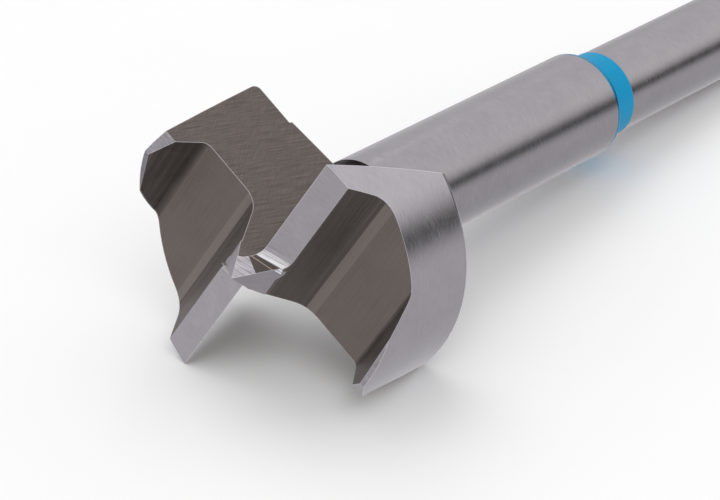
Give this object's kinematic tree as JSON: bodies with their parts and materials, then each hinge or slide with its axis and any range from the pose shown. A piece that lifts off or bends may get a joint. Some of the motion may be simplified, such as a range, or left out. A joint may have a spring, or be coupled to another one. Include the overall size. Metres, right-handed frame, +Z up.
{
  "type": "forstner bit",
  "caption": "Forstner boring bit in ground and milled steel, with wide cutting wings, a scribing rim, a faceted centre point, a thick collar and a plain shank with a blue lacquer band.",
  "frame": {"origin": "bottom centre of the bit's box, on the floor it lies on", "axes": "+X from the centre point towards the shank's end, +Z up"},
  "size_m": [0.0898, 0.035, 0.0288],
  "materials": {
    "steel": "ground bright on the rim, cutting edges, point, collar and shank; dark satin in the milled hollows",
    "blue_lacquer": "thin satin lacquer"
  },
  "bodies": {
    "root": {"bit": "steel", "colour_band": "blue_lacquer"}
  },
  "joints": []
}
